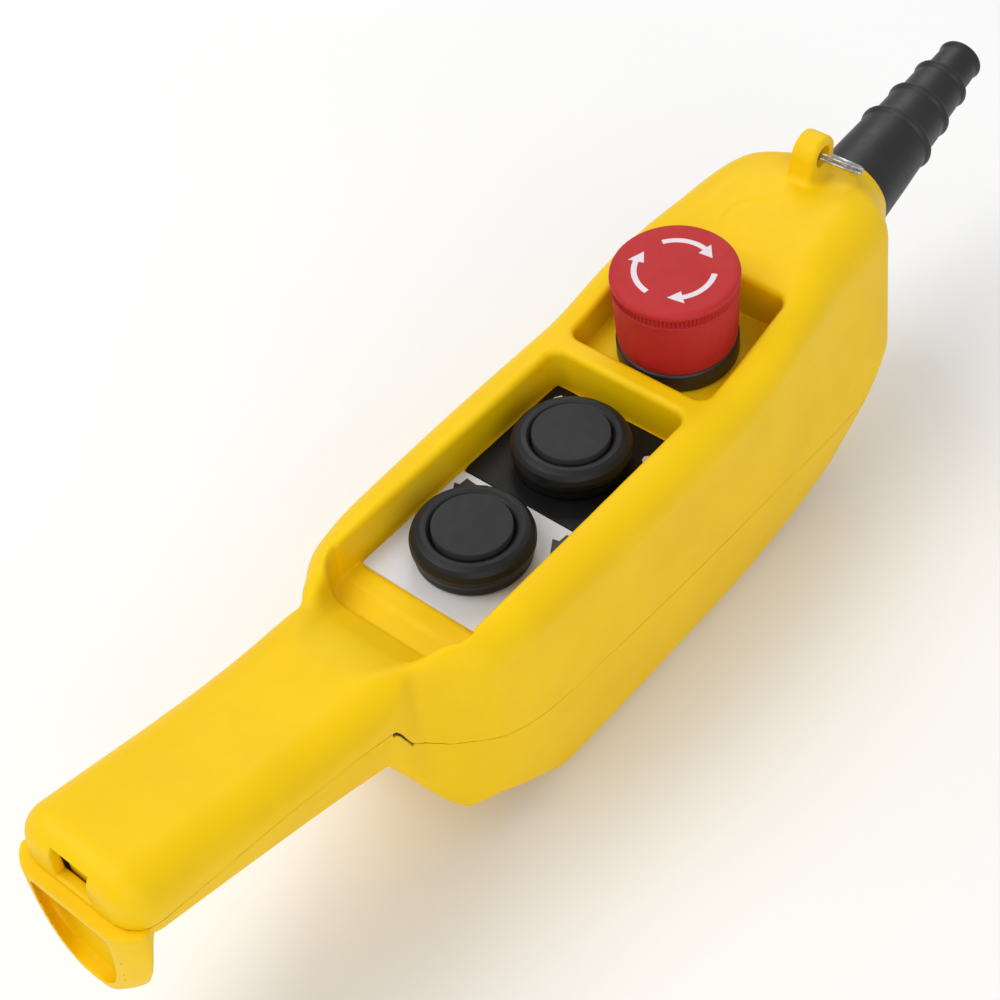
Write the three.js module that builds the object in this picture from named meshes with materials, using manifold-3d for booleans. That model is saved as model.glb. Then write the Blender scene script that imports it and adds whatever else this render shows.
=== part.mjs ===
// Push-button pendant control station for an electric chain hoist.
//
// Two moulded shells form a pistol-grip housing that widens into a head. The head's front carries
// two booted push buttons in a long recess and a twist-release emergency stop in a second recess.
// A stepped rubber sleeve leaves the far end, next to an eye with a loose split ring.
//
// Design axes, in millimetres: X runs from the grip's butt to the cable end, Y across, Z up out of
// the button face. X = 0 is the grip-side edge of the legend plates and Z = 0 their top face. The
// whole model is shifted at the end, so that it lies on its back with the origin under its middle.

import * as THREE from 'three';
import { mergeVertices } from 'three/addons/utils/BufferGeometryUtils.js';
import Module from 'manifold-3d';

const wasm = await Module();
wasm.setup();

// ---------------------------------------------------------------- driving dimensions

const WALL = 2.5;                 // moulded wall of both shells
const GAP = 0.3;                  // clearance between neighbouring pieces
const BUTT_X = -96.2;             // end face of the grip
const NOSE_X = 167;               // round collar at the cable end

const PLATE = { length: 34.4, width: 35, thick: 0.8, pitch: 34.67, first: 17.335 };
const FLOOR_Z = -PLATE.thick - GAP;
const RECESS = { from: -10, to: 70.3, half: 18.7, corner: 3.5, rampTop: 10.6, rampRun: 15 };
const RAMP = { narrow: 9.5, wide: 16.4 };   // half widths of the slope at its top and at the floor
const HOLE_R = 11.3;              // standard 22 mm control-unit opening
const ABOVE = 40;                 // clear of the whole front face

const STOP = { x: 93.2, z: 3.6, tilt: -5.5, from: -16.6, to: 17.3, half: 19.2, corner: 3 };

const EYE = { x: 148, z: 26.8, outer: 5.2, bore: 2.7, half: 3.2 };
const RING = { radius: 7.7, wire: 0.75, lean: 38, aside: -2.9, reach: 6 };
const SLEEVE = { x: 165, z: -0.07, rise: 11.8, bore: 4.9, root: 11.5, flange: 13.4 };
const CLAMP = { x: 124, z: -14, reach: 11.5 };

const WINDOW = { half: 4.9, low: 10.2, high: 18 };
const HOOK = { lip: 8.6, half: 16.8, depth: 27, from: -90.5, full: -95.2, bow: -94, out: -99.3 };

const HEAD_SCREWS = [[4, 20], [66, 20.5], [126, 19.5]];   // mirrored across the middle
const GRIP_SCREW_X = -58;
const BOSS_R = 3.9;
const SCREW = { shank: 1.45, head: 2.9, headHigh: 2, length: 14 };

// ---------------------------------------------------------------- outline of the housing

// Smooth curve through a few knots that never overshoots them (monotone cubic).
function curve(knots) {
  const slope = knots.map((knot, i) => {
    if (i === 0 || i === knots.length - 1) return 0;
    const left = (knot[1] - knots[i - 1][1]) / (knot[0] - knots[i - 1][0]);
    const right = (knots[i + 1][1] - knot[1]) / (knots[i + 1][0] - knot[0]);
    return left * right <= 0 ? 0 : 2 * left * right / (left + right);
  });
  const last = knots.length - 1;
  slope[0] = (knots[1][1] - knots[0][1]) / (knots[1][0] - knots[0][0]);
  slope[last] = (knots[last][1] - knots[last - 1][1]) / (knots[last][0] - knots[last - 1][0]);
  return (x) => {
    if (x <= knots[0][0]) return knots[0][1];
    if (x >= knots[last][0]) return knots[last][1];
    const i = knots.findIndex((knot) => knot[0] > x) - 1;
    const span = knots[i + 1][0] - knots[i][0];
    const t = (x - knots[i][0]) / span;
    const a = (1 + 2 * t) * (1 - t) ** 2 * knots[i][1] + t * (1 - t) ** 2 * span * slope[i];
    return a + t * t * (3 - 2 * t) * knots[i + 1][1] + t * t * (t - 1) * span * slope[i + 1];
  };
}

const crown = curve([[-97, 21.6], [-26, 9.8], [-8, 9.8], [76, 10.4], [109, 17.6], [125, 20.6],
  [140, 21.7], [148, 21.1], [154, 19.2], [NOSE_X, 12.9]]);
const keel = curve([[-97, 1.4], [-68, -6], [-34, -14.2], [-29.5, -15.4], [-27.5, -18.6],
  [-16.5, -38.7], [-14.5, -40.6], [-8, -42.2], [0, -46.6], [8, -51.6], [12, -54.2], [16, -55], [82, -55],
  [105, -52.8], [121, -49.2], [134, -43], [143, -35.5], [150, -28], [157, -20.5], [NOSE_X, -12.2]]);
const topHalf = curve([[-97, 16.2], [-22, 17], [-15, 20.4], [-5, 25.3], [9, 27.3], [50, 28.2],
  [90, 27.8], [112, 25.9], [125, 24.1], [137, 23.2], [147, 22], [157, 16.8], [NOSE_X, 12.4]]);
const draft = curve([[-97, 0.5], [-32, 1.2], [-10, 1.6], [90, 1.9], [112, 3.6], [125, 5.2], [139, 5.8],
  [147, 5.4], [152, 3.4], [157, 1.2], [NOSE_X, 0.1]]);
const backHalf = curve([[-97, 13.5], [-31, 16.3], [-29, 17], [-17, 23.2], [-13, 24.6], [0, 26.8],
  [60, 27.6], [120, 27], [138, 25.4], [148, 22.6], [157, 16.6], [NOSE_X, 12.3]]);
const topRadius = curve([[-97, 8], [100, 8], [140, 11], [NOSE_X, 12.2]]);
const backRadius = curve([[-97, 5.5], [-32, 5.5], [-26, 3.2], [-8, 3.6], [20, 5], [120, 5], [150, 7],
  [NOSE_X, 12]]);
const seam = curve([[-100, 9.2], [-29, -1], [-24, -10], [-15, -17], [6, -23], [30, -24.4],
  [86, -28], [132, -31], [148, -22], [156, -8], [161, -0.5], [180, 1]]);

// How far the outline draws in towards the rounded end of the butt.
const BUTT_ROUND = 8;
function buttInset(x) {
  const t = Math.min(1, Math.max(0, (BUTT_X + BUTT_ROUND - x) / BUTT_ROUND));
  return 6 * (1 - Math.sqrt(1 - t * t));
}

const CORNER_STEPS = 3;
function corner(cy, cz, r, from) {
  return Array.from({ length: CORNER_STEPS + 1 }, (_, i) => {
    const a = (from + 90 * i / CORNER_STEPS) * Math.PI / 180;
    return [cy + r * Math.cos(a), cz + r * Math.sin(a)];
  });
}

// One cross-section at x, drawn in by `inset` all round: a rounded box, widest at the seam.
function section(x, inset) {
  const end = buttInset(x);
  const high = crown(x) - inset - end;
  const low = keel(x) + inset + 0.3 * end;
  const rTop = Math.max(1.5, topRadius(x) - inset);
  const rBack = Math.max(1.5, backRadius(x) - inset);
  const wTop = topHalf(x) - inset - end;
  const wBack = backHalf(x) - inset - end;
  const zMid = Math.min(high - rTop - 0.1, Math.max(low + rBack + 0.1, seam(x)));
  const right = [
    ...corner(wBack - rBack, low + rBack, rBack, -90),
    [wTop + draft(x), zMid],
    ...corner(wTop - rTop, high - rTop, rTop, 0),
  ];
  const left = right.map(([y, z]) => [-y, z]).reverse();
  return [...right, ...left].map(([y, z]) => new THREE.Vector3(x, y, z));
}

function stations(from, to) {
  const stops = [-96.3, -94.5, -91, -75, -34, -28, -24, -20, -15, -9, 0, 11, 26, 78, 96, 109, 125,
    134, 142, 149, 155, 161];
  return [from, ...stops.filter((x) => x > from + 0.5 && x < to - 0.5), to];
}

// ---------------------------------------------------------------- geometry helpers

function loft(rings) {
  const n = rings[0].length;
  const points = rings.flat();
  const index = [];
  for (let k = 0; k < rings.length - 1; k++) {
    for (let i = 0; i < n; i++) {
      const a = k * n + i;
      const b = k * n + (i + 1) % n;
      index.push(a, b, b + n, a, b + n, a + n);
    }
  }
  for (const [first, flip] of [[0, true], [(rings.length - 1) * n, false]]) {
    const middle = points.length;
    const sum = new THREE.Vector3();
    points.slice(first, first + n).forEach((p) => sum.add(p));
    points.push(sum.divideScalar(n));
    for (let i = 0; i < n; i++) {
      const a = first + i;
      const b = first + (i + 1) % n;
      index.push(...(flip ? [middle, b, a] : [middle, a, b]));
    }
  }
  const geometry = new THREE.BufferGeometry();
  const numbers = points.flatMap((p) => p.toArray());
  geometry.setAttribute('position', new THREE.Float32BufferAttribute(numbers, 3));
  geometry.setIndex(index);
  return geometry;
}

const housingLoft = (inset, from, to) => loft(stations(from, to).map((x) => section(x, inset)));

const at = (geometry, x = 0, y = 0, z = 0) => geometry.translate(x, y, z);
const box = (l, w, h) => new THREE.BoxGeometry(l, w, h);
// Upright cylinder from z = low to z = high.
const post = (r, low, high, sides = 24) => new THREE.CylinderGeometry(r, r, high - low, sides)
  .rotateX(Math.PI / 2).translate(0, 0, (low + high) / 2);
// Turned piece about Z, from [radius, z] points.
const turned = (profile, sides = 32) => new THREE.LatheGeometry(
  profile.map(([r, z]) => new THREE.Vector2(r, z)), sides).rotateX(Math.PI / 2);

function ring(outer, inner, low, high, sides = 32) {
  return turned([[inner, low], [outer, low], [outer, high], [inner, high], [inner, low]], sides);
}

// Upright prism over a rounded rectangle.
function roundedPrism(x0, x1, half, r, low, high, steps = 3) {
  const s = new THREE.Shape();
  s.moveTo(x0 + r, -half).lineTo(x1 - r, -half).absarc(x1 - r, -half + r, r, -Math.PI / 2, 0);
  s.lineTo(x1, half - r).absarc(x1 - r, half - r, r, 0, Math.PI / 2);
  s.lineTo(x0 + r, half).absarc(x0 + r, half - r, r, Math.PI / 2, Math.PI);
  s.lineTo(x0, -half + r).absarc(x0 + r, -half + r, r, Math.PI, 1.5 * Math.PI);
  return new THREE.ExtrudeGeometry(s, { depth: high - low, bevelEnabled: false, curveSegments: steps })
    .translate(0, 0, low);
}

// Plate across Y whose side view is a closed outline of [x, z] points.
function sideProfile(outline, half) {
  const s = new THREE.Shape(outline.map(([x, z]) => new THREE.Vector2(x, z)));
  return new THREE.ExtrudeGeometry(s, { depth: 2 * half, bevelEnabled: false })
    .rotateX(Math.PI / 2).translate(0, half, 0);
}

function solid(geometry) {
  let g = geometry.clone();
  g.deleteAttribute('normal');
  g.deleteAttribute('uv');
  g = mergeVertices(g, 1e-4);
  const mesh = new wasm.Mesh({
    numProp: 3,
    vertProperties: new Float32Array(g.attributes.position.array),
    triVerts: new Uint32Array(g.index.array),
  });
  return new wasm.Manifold(mesh);
}

function geometryOf(body) {
  const mesh = body.getMesh();
  const geometry = new THREE.BufferGeometry();
  geometry.setAttribute('position', new THREE.BufferAttribute(mesh.vertProperties, 3));
  geometry.setIndex(new THREE.BufferAttribute(mesh.triVerts, 1));
  return geometry;
}

const join = (first, ...rest) => rest.reduce((body, next) => body.add(next), first);
const cut = (first, ...rest) => rest.reduce((body, next) => body.subtract(next), first);

// Moves a shape from the emergency stop's own frame into the housing's.
const stopFrame = (geometry) => geometry
  .rotateY(THREE.MathUtils.degToRad(STOP.tilt)).translate(STOP.x, 0, STOP.z);
// Moves a shape turned about Z so that it lies on the sleeve's axis.
const sleeveFrame = (geometry) => geometry
  .rotateY(THREE.MathUtils.degToRad(90 - SLEEVE.rise)).translate(SLEEVE.x, 0, SLEEVE.z);

// ---------------------------------------------------------------- materials

const finish = (color, roughness, metalness = 0) => (
  new THREE.MeshStandardMaterial({ color, roughness, metalness }));
const YELLOW = finish(0xf4c70d, 0.45);
const RUBBER = finish(0x2b2b2d, 0.75);
const BLACK = finish(0x232325, 0.5);
const RED = finish(0xb8282a, 0.5);
const WHITE = finish(0xdfe0e2, 0.5);
const STEEL = finish(0xb9bcc0, 0.3, 1);
const BRASS = finish(0xc9a24a, 0.35, 1);
const GREY = finish(0x8b8e92, 0.6);

// ---------------------------------------------------------------- assembly

const station = new THREE.Group();

function add(parent, name, geometry, material) {
  const mesh = new THREE.Mesh(geometry, material);
  mesh.name = name;
  parent.add(mesh);
  return mesh;
}

// ---- the two shells and their seal

// Recess for the two buttons, grown by `grow` and closed below at `floor`.
function buttonRecess(grow, floor) {
  const flat = roundedPrism(RECESS.from - grow, RECESS.to + grow, RECESS.half + grow,
    RECESS.corner + grow, floor, ABOVE);
  const across = (x, half, z) => [[-half, z], [half, z], [half, ABOVE], [-half, ABOVE]]
    .map(([y, h]) => new THREE.Vector3(x, y, h));
  const rampEnd = RECESS.from - RECESS.rampRun;
  const ramp = loft([
    across(rampEnd - grow, RAMP.narrow + grow, RECESS.rampTop - grow),
    across(RECESS.from + 0.4 - grow, RAMP.wide + grow, floor),
    across(RECESS.from + 4, RAMP.wide + grow, floor),
  ]);
  return join(solid(flat), solid(ramp));
}

function stopRecess(grow, floor) {
  return solid(stopFrame(roundedPrism(STOP.from - grow, STOP.to + grow, STOP.half + grow,
    STOP.corner + grow, floor, ABOVE)));
}

// Everything above the seam, raised by `rise`.
function aboveSeam(rise) {
  const line = stations(-120, 190).map((x) => [x, seam(x) + rise]);
  return solid(sideProfile([...line, [190, 80], [-120, 80]], 50));
}

// Band that follows the seam between two heights above it.
const seamBand = (low, high) => cut(aboveSeam(low), aboveSeam(high));

// Full-bellied bowl below the lip: it drops steeply from the grip's underside to its full depth
// and, past HOOK.bow, draws in towards its mouth.
function hookOutline(x, grow) {
  const behind = HOOK.from - x + 0.6 * Math.min(0, grow);
  const t = Math.min(1, Math.max(0, behind / (HOOK.from - HOOK.full)));
  const bow = Math.max(0, (HOOK.bow - x) / (HOOK.bow - HOOK.out));
  const drop = t * t * (3 - 2 * t);
  const lip = HOOK.lip + Math.min(0, grow);
  const low = keel(x) + (HOOK.lip - HOOK.depth - keel(x)) * drop - grow;
  const half = HOOK.half + grow - 1.4 * (1 - drop) - 6.2 * bow ** 2;
  const steps = 14;
  const full = (v) => Math.sign(v) * Math.abs(v) ** 0.8;
  return Array.from({ length: steps + 1 }, (_, i) => {
    const a = Math.PI + Math.PI * i / steps;
    return new THREE.Vector3(x, half * full(Math.cos(a)), lip + (lip - low) * full(Math.sin(a)));
  });
}

// Hook from its tip back to x = root; a positive `past` carries the tip's outline that far beyond.
function hookLoft(grow, root, past) {
  const steps = 8;
  const rings = Array.from({ length: steps + 1 }, (_, i) => (
    hookOutline(HOOK.out + (root - HOOK.out) * i / steps, grow)));
  const tip = rings[0].map((p) => p.clone().setX(HOOK.out - past));
  return solid(loft(past > 0 ? [tip, ...rings] : rings));
}

const mirrored = HEAD_SCREWS.flatMap(([x, y]) => [[x, y], [x, -y]]);
const screwSpots = [...mirrored, [GRIP_SCREW_X, 0]]
  .map(([x, y]) => ({ x, y, seat: seam(x) - 5, top: seam(x) + 6 }));

const outer = solid(housingLoft(0, BUTT_X, NOSE_X));
const justInside = solid(housingLoft(0.5, BUTT_X + 1, NOSE_X - 1));   // trims bosses and ribs
const clampSides = (shapeAt) => [-1, 1].map((side) => solid(shapeAt(side * CLAMP.reach)));
const sleeveHole = (r, from, to) => solid(sleeveFrame(post(r, from, to, 24)));

function eyePiece() {
  const arc = Array.from({ length: 13 }, (_, i) => {
    const a = Math.PI * (1.02 - i / 12 * 1.04);
    return [EYE.x + EYE.outer * Math.cos(a), EYE.z + EYE.outer * Math.sin(a)];
  });
  return solid(sideProfile([[141.2, 17], ...arc, [153.6, 14]], EYE.half));
}

const eyeBore = solid(post(EYE.bore, -10, 10, 20).rotateX(Math.PI / 2).translate(EYE.x, 0, EYE.z));

function housingWalls() {
  const cavity = cut(solid(housingLoft(WALL, BUTT_X + WALL, NOSE_X - 8)),
    buttonRecess(WALL, FLOOR_Z - WALL), stopRecess(WALL, -WALL));
  const openings = [PLATE.first, PLATE.first + PLATE.pitch]
    .map((x) => solid(at(post(HOLE_R + 0.2, -10, 5, 24), x, 0, 0)));
  return cut(outer, cavity, buttonRecess(0, FLOOR_Z), stopRecess(0, 0), ...openings,
    solid(stopFrame(post(HOLE_R + 0.2, -10, 5, 24))), sleeveHole(SLEEVE.root + GAP, -14, 20));
}

const walls = housingWalls();
const window = solid(at(box(8, 2 * WINDOW.half, WINDOW.high - WINDOW.low),
  BUTT_X, 0, (WINDOW.high + WINDOW.low) / 2));
const sealGroove = cut(solid(housingLoft(0.6, BUTT_X + 0.6, NOSE_X)),
  solid(housingLoft(1.8, BUTT_X + 1.8, NOSE_X + 1)));
const sealBody = cut(solid(housingLoft(0.85, BUTT_X + 0.85, NOSE_X)),
  solid(housingLoft(1.55, BUTT_X + 1.55, NOSE_X + 1)));

const sealWay = cut(sealGroove.intersect(seamBand(-1.15, 1)), sleeveHole(SLEEVE.flange + 0.5, -30, 20));

function frontShell() {
  const bosses = screwSpots
    .map(({ x, y, top }) => solid(at(post(BOSS_R, seam(x) - 8, top + 3, 12), x, y)));
  const ribs = mirrored.map(([x, y]) => solid(at(box(2, 13, 12), x, y * 1.32, seam(x) + 5.5)));
  const gripPost = solid(at(box(2.2, 34, 12), GRIP_SCREW_X, 0, seam(GRIP_SCREW_X) + 6));
  const pilots = screwSpots
    .map(({ x, y, top }) => solid(at(post(SCREW.shank + 0.25, -60, top, 8), x, y)));
  const blocked = [buttonRecess(0.1, FLOOR_Z), stopRecess(0.1, 0)];
  const inside = join(...bosses, ...ribs, gripPost).intersect(justInside);
  const lug = cut(eyePiece(), solid(housingLoft(1.2, 100, NOSE_X)));
  const body = join(walls, cut(inside, ...blocked), lug);
  return cut(body.intersect(aboveSeam(GAP / 2)), eyeBore, window, ...pilots);
}

function rearShell() {
  const bosses = screwSpots
    .map(({ x, y }) => solid(at(post(BOSS_R + 0.4, -60, seam(x) + 8, 12), x, y)));
  const clampPosts = clampSides((y) => at(post(3.4, -50, CLAMP.z, 10), CLAMP.x, y));
  const inside = join(...bosses, ...clampPosts).intersect(justInside);
  const hook = cut(hookLoft(0, HOOK.from, 0), cut(hookLoft(-WALL, -92, 2), outer));
  const hookAbove = solid(at(box(20, 60, 30), BUTT_X - 7, 0, HOOK.lip + 15));
  const catchTongue = solid(at(box(1.6, 2 * WINDOW.half - 1.4, 14.5), BUTT_X + WALL + 1.4, 0, 8.8));
  const body = join(walls, inside).intersect(cut(solid(box(400, 100, 200)), aboveSeam(-GAP / 2)));
  const screwWays = screwSpots.flatMap(({ x, y, seat }) => [
    solid(at(post(SCREW.head + 0.5, -70, seat - 2.4, 12), x, y)),
    solid(at(post(SCREW.shank + 0.35, -70, 20, 8), x, y)),
  ]);
  const clampPilots = clampSides((y) => at(post(1.5, CLAMP.z - 9, 0, 8), CLAMP.x, y));
  const frontSide = aboveSeam(-GAP / 2).intersect(outer);
  const gripInside = solid(housingLoft(WALL, BUTT_X + WALL, 0));
  const scoop = cut(hook, hookAbove, frontSide, gripInside);
  return cut(join(body, scoop, catchTongue), sealWay, ...screwWays, ...clampPilots);
}

const seal = cut(sealBody.intersect(seamBand(-0.85, -0.1)), sleeveHole(SLEEVE.flange + 1, -30, 20));

add(station, 'front_shell', geometryOf(frontShell()), YELLOW);
add(station, 'rear_shell', geometryOf(rearShell()), YELLOW);
add(station, 'shell_seal', geometryOf(seal), RUBBER);

// ---- screws

// Slotted pan-head screw, head down, thread up from its seat at z = 0.
function panScrew(head, shank, length) {
  const headHigh = SCREW.headHigh;
  const blank = solid(turned([[0, -headHigh], [head * 0.7, -headHigh], [head, -headHigh * 0.55],
    [head, 0], [shank, 0], [shank, length], [0, length]], 12));
  const slot = solid(at(box(head * 1.2, 0.7, 1), 0, 0, -headHigh + 0.35));
  return geometryOf(cut(blank, slot));
}

screwSpots.forEach(({ x, y, seat }, i) => {
  const geometry = panScrew(SCREW.head, SCREW.shank, SCREW.length - SCREW.headHigh);
  const screw = add(station, `rear_screw_${i + 1}`, geometry, STEEL);
  screw.position.set(x, y, seat - 2.4 - GAP);
});

// ---- push buttons

function spiral(radius, low, high, turns, wire) {
  const points = Array.from({ length: turns * 8 + 1 }, (_, i) => {
    const a = i / 8 * 2 * Math.PI;
    const z = low + (high - low) * i / (turns * 8);
    return new THREE.Vector3(radius * Math.cos(a), radius * Math.sin(a), z);
  });
  const wireSection = new THREE.Shape(Array.from({ length: 4 }, (_, i) => new THREE.Vector2(
    wire * Math.cos(i * Math.PI / 2), wire * Math.sin(i * Math.PI / 2))));
  return new THREE.ExtrudeGeometry(wireSection, {
    extrudePath: new THREE.CatmullRomCurve3(points), steps: turns * 8, bevelEnabled: false,
  });
}

// Contact block below z = 0, with a slot across it for the moving bridge.
function contactBlock() {
  const shell = solid(at(box(26, 20, 20), 0, 0, -10));
  const slot = solid(at(box(16, 22, 12), 0, 0, -9.5));
  const guide = solid(post(2.6, -6, 2, 12));
  const screwHoles = [-1, 1].map((side) => solid(post(2.9, 0, 2.6, 10)
    .rotateY(side * Math.PI / 2).translate(side * 10.5, 0, -9.5)));
  return geometryOf(cut(shell, slot, guide, ...screwHoles));
}

// Nut under a panel of thickness `panel`, and a contact block hung at z = low. The plunger is pushed
// at z = top and carries the bridge at z = bridge.
function addContacts(parent, name, { panel, low, top, bridge }) {
  const hexagon = solid(post(14, -panel - GAP - 3.6, -panel - GAP, 6));
  const nut = cut(hexagon, solid(post(HOLE_R, -20, 0, 20)));
  add(parent, `${name}_nut`, geometryOf(nut), BLACK);
  const block = add(parent, `${name}_contact_block`, contactBlock(), GREY);
  block.position.z = low - GAP;
  add(parent, `${name}_plunger`, post(2, bridge + 0.4 + GAP, top, 12), WHITE);
  add(parent, `${name}_bridge`, box(14, 4, 0.8), BRASS).position.z = bridge;
  for (const side of [-1, 1]) {
    const screw = add(parent, `${name}_terminal_${side < 0 ? 'a' : 'b'}`,
      turned([[0, 0], [2.5, 0], [2.5, 1.6], [1.6, 2.1], [0, 2.1]], 10), BRASS);
    screw.rotation.y = side * Math.PI / 2;
    screw.position.set(side * (10.5 + GAP), 0, low - GAP - 9.5);
  }
}

const GUIDE_LOW = -13;
const CAP_TOP = 8.9;

function addPushButton(name, x) {
  const unit = new THREE.Group();
  unit.position.x = x;
  station.add(unit);
  const boot = [[11.7, 0.25], [13.2, 0.25], [13.2, 2.4], [13.8, 3.7], [13.9, 5.1], [13.5, 6.5],
    [12.6, 7.5], [11.3, 8], [10.1, 7.9], [9.3, 7.4], [9.3, 6.4], [12.2, 6.4], [12.8, 4.4],
    [12.8, 1.9], [11.7, 1.9], [11.7, 0.25]];
  add(unit, `${name}_boot`, turned(boot, 20), RUBBER);
  const guide = [[9.3, -9], [9.3, 5.9], [11, 5.9], [11, 3.4], [12.4, 3.4], [12.4, 2.2], [11, 2.2],
    [11, GUIDE_LOW], [3.4, GUIDE_LOW], [3.4, -9], [9.3, -9]].reverse();
  add(unit, `${name}_guide`, turned(guide, 20), BLACK);
  const cap = [[0, -8.7], [2.9, -8.7], [2.9, 2.5], [4.6, 2.5], [4.6, 5], [7.6, 5], [7.6, 2],
    [8.95, 2], [8.95, CAP_TOP - 0.4], [8.6, CAP_TOP], [0, CAP_TOP]];
  add(unit, `${name}_cap`, turned(cap, 20), RUBBER);
  add(unit, `${name}_spring`, spiral(6.1, -8.1, 4.1, 5, 0.45), STEEL);
  addContacts(unit, name, { panel: WALL - FLOOR_Z, low: GUIDE_LOW, top: -9, bridge: -18.7 });
  return unit;
}

function addLegendPlate(name, x, material) {
  const plate = cut(solid(at(box(PLATE.length, PLATE.width, PLATE.thick), x, 0, -PLATE.thick / 2)),
    solid(at(post(HOLE_R + 0.2, -5, 5, 24), x, 0, 0)));
  add(station, name, geometryOf(plate), material);
}

const units = [['down', PLATE.first, WHITE], ['up', PLATE.first + PLATE.pitch, BLACK]];
for (const [name, x, material] of units) {
  addLegendPlate(`${name}_legend_plate`, x, material);
  addPushButton(name, x);
}

// ---- emergency stop

function addEmergencyStop() {
  const unit = new THREE.Group();
  unit.position.set(STOP.x, 0, STOP.z);
  unit.rotation.y = THREE.MathUtils.degToRad(STOP.tilt);
  station.add(unit);
  const collar = [[9.2, -8.5], [9.2, 5.6], [13.9, 5.6], [14.5, 5], [14.5, 0.3], [11, 0.3], [11, -12],
    [5.9, -12], [5.9, -8.5], [9.2, -8.5]].reverse();
  add(unit, 'stop_collar', turned(collar, 24), BLACK);
  const head = [[0, 8], [8.6, 8], [8.6, 18], [12.9, 18], [12.6, 5.9], [14.2, 5.9], [14.9, 22.2],
    [15, 22.5], [15, 24.7], [14.6, 25.5], [13.8, 25.9], [0, 25.9]];
  add(unit, 'stop_head', turned(head, 24), RED);
  const stem = [[0, -10.7], [5.5, -10.7], [5.5, -1], [6.6, -1], [6.6, 1], [5.5, 1], [5.5, 7.7],
    [0, 7.7]];
  add(unit, 'stop_stem', turned(stem, 16), BLACK);
  add(unit, 'stop_latch_ring', ring(8.8, 6.9, 0.5, 5, 24), WHITE);
  add(unit, 'stop_spring', spiral(7.3, -8, -1.9, 3, 0.45), STEEL);
  addContacts(unit, 'stop', { panel: WALL, low: -12, top: -11, bridge: -21.2 });
}

addEmergencyStop();

// ---- cable entry

// Stepped sleeve, turned about its own axis: [distance, radius before the bead, bead radius].
const SLEEVE_STEPS = [[27.4, 9.8, 10.55], [38.5, 8.5, 9.15], [49.3, 7.2, 7.85], [59.4, 5.7, 6.2]];
const SLEEVE_STARTS = [SLEEVE.root, 9.1, 7.7, 6.1];

function sleeveProfile() {
  const outline = [[SLEEVE.bore, -13], [SLEEVE.flange, -13], [SLEEVE.flange, -10], [SLEEVE.root, -10]];
  SLEEVE_STEPS.forEach(([end, before, bead], i) => {
    const start = i === 0 ? 2 : SLEEVE_STEPS[i - 1][0] + 0.3;
    outline.push([SLEEVE_STARTS[i], start], [before, end - 1.6], [bead, end - 1.1], [bead, end]);
  });
  outline.push([SLEEVE.bore, SLEEVE_STEPS.at(-1)[0]], [SLEEVE.bore, -13]);
  return outline;
}

add(station, 'cable_sleeve', sleeveFrame(turned(sleeveProfile(), 20)), RUBBER);

function clampBar() {
  const bar = solid(roundedPrism(-4.5, 4.5, CLAMP.reach + 4, 2, 0, 4.2, 3));
  const saddle = solid(post(5, -20, 20, 24).rotateY(Math.PI / 2).translate(0, 0, -2.2));
  const ways = [-1, 1].map((side) => solid(at(post(1.85, -2, 8, 14), 0, side * CLAMP.reach)));
  return geometryOf(cut(bar, saddle, ...ways));
}

add(station, 'cord_clamp_bar', clampBar(), BLACK).position.set(CLAMP.x, 0, CLAMP.z + GAP);
for (const side of [-1, 1]) {
  const screw = add(station, `cord_clamp_screw_${side < 0 ? 'a' : 'b'}`, panScrew(2.8, 1.3, 10), STEEL);
  screw.rotation.x = Math.PI;
  screw.position.set(CLAMP.x, side * CLAMP.reach, CLAMP.z + 4.2 + 2 * GAP);
}

// ---- hanging ring, threaded through the eye and leaning back over the nose

const hangingRing = add(station, 'hanging_ring',
  new THREE.TorusGeometry(RING.radius, RING.wire, 6, 30), STEEL);
const lean = THREE.MathUtils.degToRad(RING.lean);
hangingRing.rotation.y = lean;
hangingRing.position.set(EYE.x + RING.reach * Math.cos(lean), RING.aside,
  EYE.z - RING.reach * Math.sin(lean));

// ---- the origin: middle of the footprint, on the surface the back lies on

const bounds = new THREE.Box3().setFromObject(station);
station.position.set(-(bounds.min.x + bounds.max.x) / 2, 0, -bounds.min.z);

const group = new THREE.Group();
group.add(station);

export default group;
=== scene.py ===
# Looks of a push-button pendant control station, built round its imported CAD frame.
#
# Lengths in this file are millimetres in the housing's design axes: X runs from the grip's butt to
# the cable end, Y across, Z up out of the button face. X = 0 is the grip-side edge of the legend
# plates and Z = 0 their top face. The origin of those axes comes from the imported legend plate.

import math

import bmesh
import bpy
import numpy as np
from mathutils import Matrix, Vector


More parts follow.
